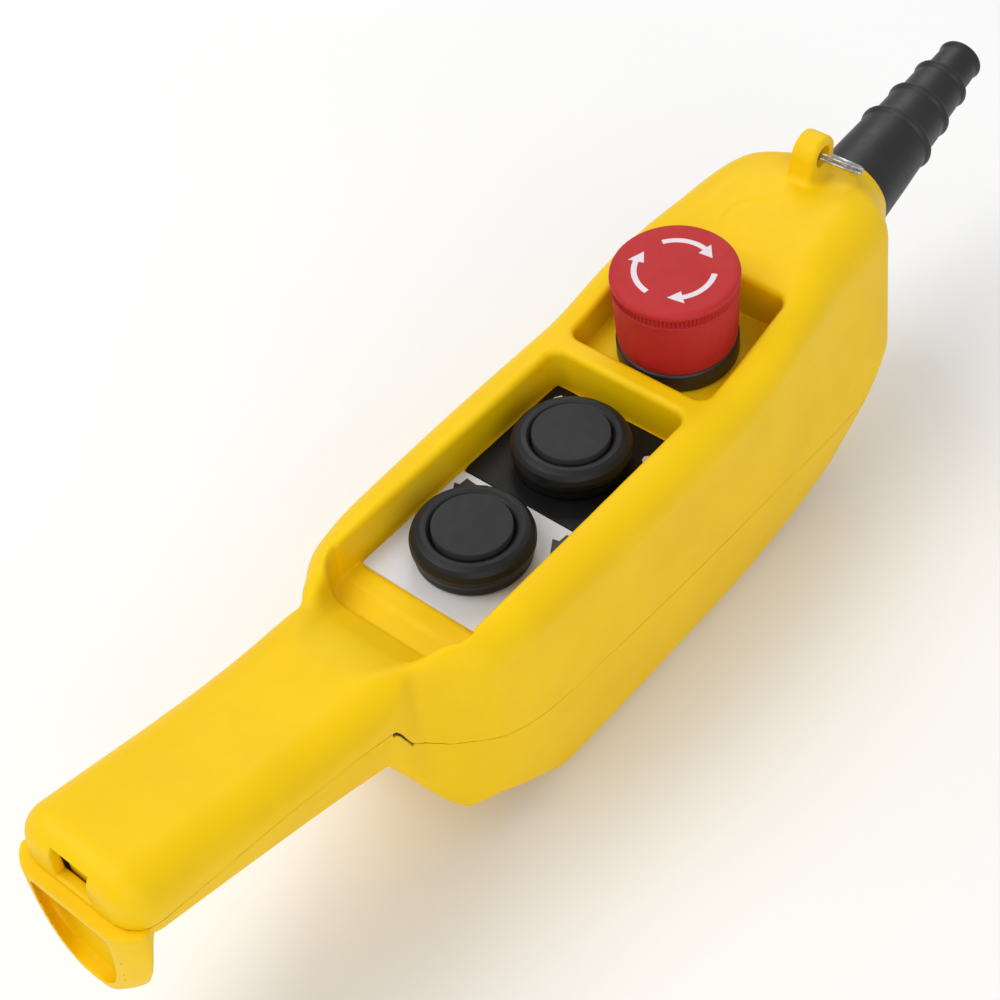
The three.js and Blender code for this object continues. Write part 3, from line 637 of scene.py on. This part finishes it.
def linear(r, g, b):
    """Screen colour, 0 to 255, as the linear colour a shader takes."""
    def one(c):
        c /= 255
        return c / 12.92 if c <= 0.04045 else ((c + 0.055) / 1.055) ** 2.4
    return (one(r), one(g), one(b), 1)


class Shader:
    """A Principled material and short names for its nodes. Texture space is the row frame."""

    def __init__(self, name, **values):
        self.material = bpy.data.materials.new(name)
        self.material.use_nodes = True
        self.tree = self.material.node_tree
        self.surface = self.tree.nodes["Principled BSDF"]
        for key, value in values.items():
            self.surface.inputs[key.replace("_", " ")].default_value = value
        self.place = self.node("ShaderNodeTexCoord").outputs["Object"]

    def node(self, kind, **inputs):
        made = self.tree.nodes.new(kind)
        for key, value in inputs.items():
            self.feed(made.inputs[key.replace("_", " ")], value)
        return made

    def feed(self, socket, value):
        if isinstance(value, bpy.types.NodeSocket):
            self.tree.links.new(value, socket)
        else:
            socket.default_value = value

    def noise(self, size_mm, detail=3.0, rough=0.55):
        return self.node("ShaderNodeTexNoise", Vector=self.place, Scale=1000 / size_mm, Detail=detail,
                         Roughness=rough).outputs["Fac"]

    def spread(self, value, low, high, to_low, to_high):
        return self.node("ShaderNodeMapRange", Value=value, From_Min=low, From_Max=high,
                         To_Min=to_low, To_Max=to_high).outputs[0]

    def mix(self, amount, a, b):
        made = self.tree.nodes.new("ShaderNodeMix")
        made.data_type = "RGBA"
        self.feed(made.inputs["Factor"], amount)
        self.feed([s for s in made.inputs if s.name == "A" and s.type == "RGBA"][0], a)
        self.feed([s for s in made.inputs if s.name == "B" and s.type == "RGBA"][0], b)
        return [s for s in made.outputs if s.type == "RGBA"][0]

    def bump(self, height, strength, depth_mm, under=None):
        made = self.node("ShaderNodeBump", Height=height, Strength=strength, Distance=depth_mm * MM)
        if under is not None:
            self.feed(made.inputs["Normal"], under)
        return made.outputs[0]

    def done(self, colour=None, roughness=None, normal=None):
        for socket, value in (("Base Color", colour), ("Roughness", roughness), ("Normal", normal)):
            if value is not None:
                self.feed(self.surface.inputs[socket], value)
        return self.material


def moulded(name, light, shade, roughness, grain_mm=0.35, grain=0.22, **values):
    """Moulded plastic or rubber: a fine spark-eroded grain, a slow waviness and soft colour drift."""
    s = Shader(name, **values)
    drift = s.spread(s.noise(24, 4), 0.35, 0.65, 0, 1)
    colour = s.mix(drift, light, shade)
    gloss = s.spread(s.noise(3.2, 5, 0.65), 0.3, 0.7, roughness - 0.06, roughness + 0.06)
    waves = s.bump(s.noise(9, 2), 0.35, 0.05)
    fine = s.bump(s.noise(grain_mm, 4, 0.6), grain, 0.04, waves)
    return s.done(colour, gloss, fine)


def metal(name, light, dark, roughness):
    """Bare metal with a fine drawn grain and uneven gloss."""
    s = Shader(name, Metallic=1.0)
    brushed = s.noise(0.8, 4, 0.6)
    colour = s.mix(s.spread(brushed, 0.3, 0.7, 0, 1), light, dark)
    gloss = s.spread(s.noise(2.5, 4), 0.3, 0.7, roughness - 0.07, roughness + 0.1)
    return s.done(colour, gloss, s.bump(brushed, 0.12, 0.02))


YELLOW = moulded("shell_plastic", linear(243, 200, 0), linear(238, 194, 0), 0.5, 0.4, 0.2,
                 Specular_IOR_Level=0.2)
BOOT = moulded("boot_rubber", linear(21, 21, 22), linear(16, 16, 17), 0.46, 0.5, 0.25,
               Specular_IOR_Level=0.3)
DISC = moulded("cap_rubber", linear(48, 48, 48), linear(43, 43, 43), 0.75, 0.3, 0.5,
               Specular_IOR_Level=0.3)
SLEEVE_RUBBER = moulded("sleeve_rubber", linear(36, 36, 37), linear(29, 29, 30), 0.46, 0.7, 0.3,
                        Specular_IOR_Level=0.4)
BLACK = moulded("black_plastic", linear(44, 42, 44), linear(36, 35, 37), 0.42, 0.3, 0.2)
RED_TOP = moulded("stop_red", linear(184, 34, 36), linear(177, 29, 31), 0.6, 0.3, 0.3,
                  Specular_IOR_Level=0.35)
SHEET_WHITE = moulded("legend_white", linear(214, 213, 215), linear(206, 205, 207), 0.4, 0.3, 0.08)
SHEET_BLACK = moulded("legend_black", linear(19, 19, 20), linear(15, 15, 16), 0.42, 0.3, 0.1,
                      Specular_IOR_Level=0.2)
INK_WHITE = moulded("ink_white", linear(240, 240, 242), linear(228, 228, 232), 0.5, 0.3, 0.12)
ARROW_WHITE = moulded("arrow_white", linear(224, 214, 220), linear(216, 205, 212), 0.5, 0.3, 0.12)
INK_BLACK = moulded("ink_black", linear(30, 30, 32), linear(24, 24, 26), 0.45, 0.3, 0.12)
SEAL = moulded("seal_rubber", linear(34, 34, 36), linear(28, 28, 30), 0.7, 0.5, 0.3)
INNER_WHITE = moulded("inner_nylon", linear(226, 224, 216), linear(214, 212, 203), 0.5, 0.4, 0.15)
GREY = moulded("contact_thermoset", linear(146, 149, 153), linear(130, 133, 138), 0.55, 0.4, 0.3)
STEEL = metal("bright_steel", linear(205, 205, 208), linear(150, 152, 156), 0.25)
SPRING_STEEL = metal("spring_steel", linear(180, 182, 186), linear(125, 127, 132), 0.3)
BRASS = metal("contact_brass", linear(214, 178, 96), linear(170, 132, 62), 0.3)

# ---------------------------------------------------------------- housing

CELL = 0.62
SHELL_FACES = 190_000


def build_shells():
    front_low, front_high = (BUTT_X - 2, -31, -9), (NOSE_X + 2, 31, 58)
    rear_low, rear_high = (HOOK["out"] - 2, -31, -40), (NOSE_X + 2, 31, 13)
    for name, shape, low, high, node in (
        ("front_shell_moulding", front_shell, front_low, front_high, "front_shell"),
        ("rear_shell_moulding", rear_shell, rear_low, rear_high, "rear_shell"),
    ):
        vertices, quads = skin(shape, low, high, CELL, grid_bend)
        piece = mesh_piece(name, vertices, quads, HOME, YELLOW, 40)
        thin = piece.modifiers.new("fewer_faces", "DECIMATE")
        thin.ratio = min(1.0, SHELL_FACES / (2 * len(quads)))
        place(piece, "housing", "shell_yellow", node)


def build_screws():
    vertices, quads = skin(machine_screw, (-3.4, -3.4, -2.5), (3.4, 3.4, 12.6), 0.16)
    for i, (x, y) in enumerate(SCREW_SPOTS):
        home = HOME @ Matrix.Translation((x, y, float(seam(x)) - SCREW_HEAD_DEEP - GAP))
        screw = mesh_piece(f"rear_screw_{i + 1}_fine", vertices, quads, home, STEEL, 40)
        place(screw, "housing", "screw_steel", f"rear_screw_{i + 1}")


# ---------------------------------------------------------------- push buttons


def spring_path(radius, low, high, turns):
    """Compression spring with a closed turn at each end."""
    steps = (turns + 2) * 28
    points = []
    for i in range(steps + 1):
        turn = (turns + 2) * i / steps - 1
        rise = min(1, max(0, turn / turns))
        angle = 2 * math.pi * turn
        points.append((radius * math.cos(angle), radius * math.sin(angle), low + (high - low) * rise))
    return points


def arrow_barbs(direction):
    """Barbs of the broad printed arrow that reach out from under the boot, far side then near side."""
    if direction < 0:
        return ([(16.8, 9.9), (15.4, 12.1), (15.7, 15.1), (13.3, 15.3), (13.0, 16.6), (10.4, 15.0),
                 (7, 9)],
                [(12.9, -11.5), (13.3, -13.1), (15.7, -13.3), (15.9, -16.6), (4.6, -16.6)])
    return ([(13.1, 15.4), (14.8, 14.4), (14.4, 13.5), (9, 8), (6, 10)],
            [(9.1, -13.0), (10.2, -12.8), (11.0, -13.5), (10.1, -14.2), (7.6, -14.6)])


def build_button(name, x, sheet, ink, direction):
    home = HOME @ Matrix.Translation((x, 0, 0))
    body = f"{name}_button"
    sheet_slot, ink_slot = ("legend_white", "legend_black") if sheet is SHEET_WHITE else (
        "legend_black", "legend_white")
    boot = [(11.7, 0.2), (13.15, 0.2), (13.2, 2.3), (13.8, 3.7), (13.9, 5.1), (13.5, 6.5), (12.6, 7.5),
            (11.3, 7.95), (10.1, 7.8), (9.25, 7.2), (9.25, 6.4), (12.2, 6.4), (12.8, 4.4), (12.8, 1.9),
            (11.7, 1.9), (11.7, 0.2)]
    place(lathe(f"{name}_boot_ring", fillet(boot, 0.8, 4), home, BOOT, 96, 50),
          "housing", "boot_rubber", f"{name}_boot")
    cap = [(0, -8.7), (2.9, -8.7), (2.9, 2.5), (4.6, 2.5), (4.6, 5), (7.6, 5), (7.6, 2), (8.95, 2),
           (8.95, 8.82), (6, 8.86), (0, 8.9)]
    place(lathe(f"{name}_cap_disc", fillet(cap, 0.35, 4), home, DISC, 96),
          body, "boot_rubber", f"{name}_cap")
    piece = plate_with_hole(f"{name}_legend_sheet", plate_outline(), home, sheet)
    place(piece, "housing", sheet_slot, f"{name}_legend_plate")
    for side, barb in zip(("far", "near"), arrow_barbs(direction)):
        mark = prism(f"{name}_legend_{side}_barb", barb, -INK_SUNK, INK_PROUD, home, ink)
        place(mark, "housing", ink_slot)
    coil = tube(f"{name}_spring_coil", spring_path(6.1, -8.1, 4.1, 5), SPRING_WIRE, home, SPRING_STEEL, 8)
    place(coil, "housing", "spring_steel", f"{name}_spring")


def plate_outline():
    """Corners of a legend plate, each with a small radius."""
    l, w, r = PLATE_LENGTH / 2, PLATE_WIDTH / 2, PLATE_CORNER
    points = []
    for cx, cy, start in ((l - r, -w + r, -90), (l - r, w - r, 0), (-l + r, w - r, 90),
                          (-l + r, -w + r, 180)):
        points += [(cx + r * math.cos(math.radians(start + 30 * k)),
                    cy + r * math.sin(math.radians(start + 30 * k))) for k in range(4)]
    return points


def plate_with_hole(name, edge, home, material):
    """Thin plate with a round hole: its faces run as a ring between the hole and the edge."""
    sides = 96
    angles = [2 * math.pi * k / sides for k in range(sides)]

    def edge_at(angle):
        d = Vector((math.cos(angle), math.sin(angle)))
        best = 1e9
        for a, b in zip(edge, edge[1:] + edge[:1]):
            a, b = Vector(a), Vector(b)
            e = b - a
            det = d.x * -e.y + d.y * e.x
            if abs(det) < 1e-9:
                continue
            t = (a.x * -e.y + a.y * e.x) / det
            s = (d.x * a.y - d.y * a.x) / det
            if t > 0 and -1e-6 <= s <= 1 + 1e-6:
                best = min(best, t)
        return best

    inner = [(HOLE_R * math.cos(a), HOLE_R * math.sin(a)) for a in angles]
    rim = [(edge_at(a) * math.cos(a), edge_at(a) * math.sin(a)) for a in angles]
    for cx, cy in ((1, 1), (1, -1), (-1, 1), (-1, -1)):
        target = (cx * PLATE_LENGTH / 2, cy * PLATE_WIDTH / 2)
        k = min(range(sides), key=lambda i: math.dist(rim[i], target))
        rim[k] = (cx * (PLATE_LENGTH / 2 - PLATE_CORNER_IN), cy * (PLATE_WIDTH / 2 - PLATE_CORNER_IN))
    vertices = []
    for z in (-PLATE_THICK, 0):
        vertices += [(x, y, z) for x, y in inner] + [(x, y, z) for x, y in rim]
    faces = []
    for k in range(sides):
        j = (k + 1) % sides
        i0, i1, r0, r1 = k, j, sides + k, sides + j
        t = 2 * sides
        faces += [[i0, i1, r1, r0][::-1], [t + i0, t + i1, t + r1, t + r0], [r0, r1, t + r1, t + r0],
                  [i1, i0, t + i0, t + i1]]
    piece = mesh_piece(name, vertices, faces, home, material, 30)
    outward(piece)
    soften(piece, 0.12)
    return piece


# ---------------------------------------------------------------- emergency stop


def build_stop():
    collar = [(9.2, -8.5), (9.2, 5.6), (13.9, 5.6), (14.5, 5.1), (14.5, 0.3), (11, 0.3), (11, -12),
              (5.9, -12), (5.9, -8.5), (9.2, -8.5)]
    place(lathe("stop_collar_ring", fillet(collar, 0.4, 3), STOP_HOME, BLACK),
          "housing", "black_plastic", "stop_collar")
    place(stop_head(), "stop_mushroom", "stop_red", "stop_head")
    stem = [(0, -10.7), (5.5, -10.7), (5.5, -1), (6.6, -1), (6.6, 1), (5.5, 1), (5.5, 7.7), (0, 7.7)]
    place(lathe("stop_stem_turned", fillet(stem, 0.3, 3), STOP_HOME, BLACK, 64),
          "stop_actuator", "black_plastic", "stop_stem")
    for i in range(3):
        arrow = prism(f"stop_arrow_{i + 1}", turn_arrow(math.radians(120 * i + 53)),
                      STOP["top"] - INK_SUNK, STOP["top"] + INK_PROUD, STOP_HOME, ARROW_WHITE)
        place(arrow, "stop_mushroom", "legend_white")
    coil = tube("stop_spring_coil", spring_path(7.3, -8, -1.9, 3), SPRING_WIRE, STOP_HOME, SPRING_STEEL, 8)
    place(coil, "housing", "spring_steel", "stop_spring")


def stop_head():
    """Mushroom head: a skirt, a ribbed band under the rim and a flat top with a soft edge."""
    ribs, rib_deep, rib_end = 96, 0.5, 0.3
    top = STOP["top"]
    band_low, band_high = top - 4.4, top - 1.7
    inner = [(0, 8), (8.6, 8), (8.6, 18), (12.9, 18), (12.6, 5.9)]
    outer = [(14.15, 5.9), (14.3, 8), (14.66, band_low - 0.7), (14.78, band_low - 0.4), (14.8, band_low),
             (14.82, band_low + 0.3), (14.84, top - 3), (14.84, band_high - 0.3), (14.9, band_high),
             (15, band_high + 0.3), (14.85, top - 0.65), (14.4, top - 0.18), (13.6, top), (0, top)]

    def ribbing(r, z, angle):
        fade = min(1, max(0, min(z - band_low, band_high - z) / rib_end)) if r > 14 else 0
        return rib_deep * fade * (0.5 - 0.5 * math.cos(ribs * angle))

    return lathe("stop_head_mushroom", inner + fillet(outer, 0.25, 3), STOP_HOME, RED_TOP, 6 * ribs, 35,
                 ribbing)


def turn_arrow(start):
    """Curved arrow, clockwise seen from above: an arc band with a triangular head."""
    radius, half, sweep, head = 9.2, 0.66, math.radians(66), math.radians(22)
    at = lambda r, a: (r * math.cos(a), r * math.sin(a))
    arc = [start - sweep * k / 16 for k in range(17)]
    outside = [at(radius + half, a) for a in arc]
    inside = [at(radius - half, a) for a in reversed(arc)]
    tip = start - sweep - head
    wings = [at(radius + 1.9, start - sweep), at(radius - 0.1, tip), at(radius - 1.9, start - sweep)]
    return outside + wings + inside


# ---------------------------------------------------------------- cable entry and ring


def build_sleeve():
    """Stepped rubber sleeve: each length flares towards a raised bead."""
    bore, flange = SLEEVE["bore"], SLEEVE_FLANGE
    profile = [(bore, flange["from"]), (flange["radius"], flange["from"]),
               (flange["radius"], flange["to"]), (SLEEVE_STEPS[0][0], flange["to"])]
    begin = 0.0
    for first, end, before, bead in SLEEVE_STEPS:
        profile += [(first, begin), (first * 0.4 + before * 0.6, begin * 0.4 + end * 0.6),
                    (before, end - 2.2), (bead - 0.25, end - 1.5), (bead, end - 0.75),
                    (bead - 0.3, end - 0.05)]
        begin = end + 0.35
    profile += [(bore + 0.4, end), (bore, end - 0.5), profile[0]]
    piece = lathe("cable_sleeve_moulding", fillet(profile, 0.5, 4), SLEEVE_HOME, SLEEVE_RUBBER, 96, 50)
    place(piece, "housing", "sleeve_rubber", "cable_sleeve")


def build_ring():
    """Split ring: two close turns of wire, sprung together."""
    lean = RING["lean"]
    centre = (EYE["x"] + RING["reach"] * math.cos(lean), RING["aside"],
              EYE["z"] - RING["reach"] * math.sin(lean))
    home = HOME @ Matrix.Translation(centre) @ Matrix.Rotation(lean, 4, "Y")
    steps = 150
    points = []
    for i in range(steps + 1):
        turn = RING["turns"] * i / steps
        lift = RING["apart"] * (2 * ramp01((turn - 0.9) / 0.2) - 1)
        angle = 2 * math.pi * turn + RING["cut_at"]
        points.append((RING["radius"] * math.cos(angle), RING["radius"] * math.sin(angle), float(lift)))
    ring = tube("split_ring_wire", points, RING["wire"], home, STEEL, 12)
    place(ring, "split_ring", "ring_steel", "hanging_ring")


# ---------------------------------------------------------------- pieces kept from the CAD model


def dress_cad():
    """Finishes and softened edges for the inner pieces whose CAD shape stays."""
    finishes = [("guide", BLACK), ("nut", BLACK), ("contact_block", GREY), ("plunger", INNER_WHITE),
                ("bridge", BRASS), ("terminal_a", BRASS), ("terminal_b", BRASS)]
    chosen = {f"{unit}_{part}": finish for unit in ("down", "up", "stop") for part, finish in finishes}
    chosen.update({"shell_seal": SEAL, "stop_latch_ring": INNER_WHITE, "cord_clamp_bar": BLACK,
                   "cord_clamp_screw_a": STEEL, "cord_clamp_screw_b": STEEL})
    for name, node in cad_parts.items():
        if name not in chosen:
            continue
        for slot in node.material_slots:
            slot.material = chosen[name]
        if name != "shell_seal":
            soften(node, 0.25)


# ---------------------------------------------------------------- camera, floor and light


def build_camera():
    back = Vector((math.sin(CAMERA["azimuth"]) * math.cos(CAMERA["elevation"]),
                   -math.cos(CAMERA["azimuth"]) * math.cos(CAMERA["elevation"]),
                   math.sin(CAMERA["elevation"])))
    right = Vector((0, 0, 1)).cross(back).normalized()
    up = back.cross(right)
    c, s = math.cos(CAMERA["roll"]), math.sin(CAMERA["roll"])
    right, up = c * right + s * up, -s * right + c * up
    data = bpy.data.cameras.new("camera")
    data.sensor_width = 36
    data.lens = CAMERA["lens"]
    data.clip_start, data.clip_end = 0.01, 20
    camera = bpy.data.objects.new("camera", data)
    bpy.context.scene.collection.objects.link(camera)
    turn = Matrix((right, up, back)).transposed().to_4x4()
    camera.matrix_world = Matrix.Translation(Vector(CAMERA["at"]) * MM) @ turn
    bpy.context.scene.camera = camera


def build_stage():
    half = FLOOR_HALF
    corners = [(-half, -half, 0), (half, -half, 0), (half, half, 0), (-half, half, 0)]
    mesh = bpy.data.meshes.new("floor")
    mesh.from_pydata(corners, [], [[0, 1, 2, 3]])
    floor = bpy.data.objects.new("floor", mesh)
    floor.location.z = cad_box[0].z - FLOOR_DROP
    bpy.context.scene.collection.objects.link(floor)
    s = Shader("pale_floor", Roughness=0.9, Specular_IOR_Level=0.1)
    tone = s.spread(s.noise(400, 2), 0.3, 0.7, 0, 1)
    mesh.materials.append(s.done(s.mix(tone, linear(247, 247, 247), linear(243, 243, 243))))
    world = bpy.data.worlds.new("studio")
    world.use_nodes = True
    sky = world.node_tree.nodes["Background"]
    sky.inputs["Color"].default_value = (1, 1, 1, 1)
    sky.inputs["Strength"].default_value = SKY_STRENGTH
    bpy.context.scene.world = world
    bpy.context.scene.view_settings.view_transform = "Standard"
    for name, lamp_set in LAMPS.items():
        data = bpy.data.lights.new(name, "AREA")
        data.size, data.energy = lamp_set["size"], lamp_set["power"]
        lamp = bpy.data.objects.new(name, data)
        lamp.location = lamp_set["at"]
        lamp.rotation_mode = "QUATERNION"
        lamp.rotation_quaternion = (LAMP_AIM - lamp.location).to_track_quat("-Z", "Y")
        bpy.context.scene.collection.objects.link(lamp)


build_camera()
build_stage()
build_shells()
build_screws()
build_button("down", PLATE_FIRST, SHEET_WHITE, INK_BLACK, -1)
build_button("up", PLATE_FIRST + PLATE_PITCH, SHEET_BLACK, INK_WHITE, 1)
build_stop()
build_sleeve()
build_ring()
dress_cad()
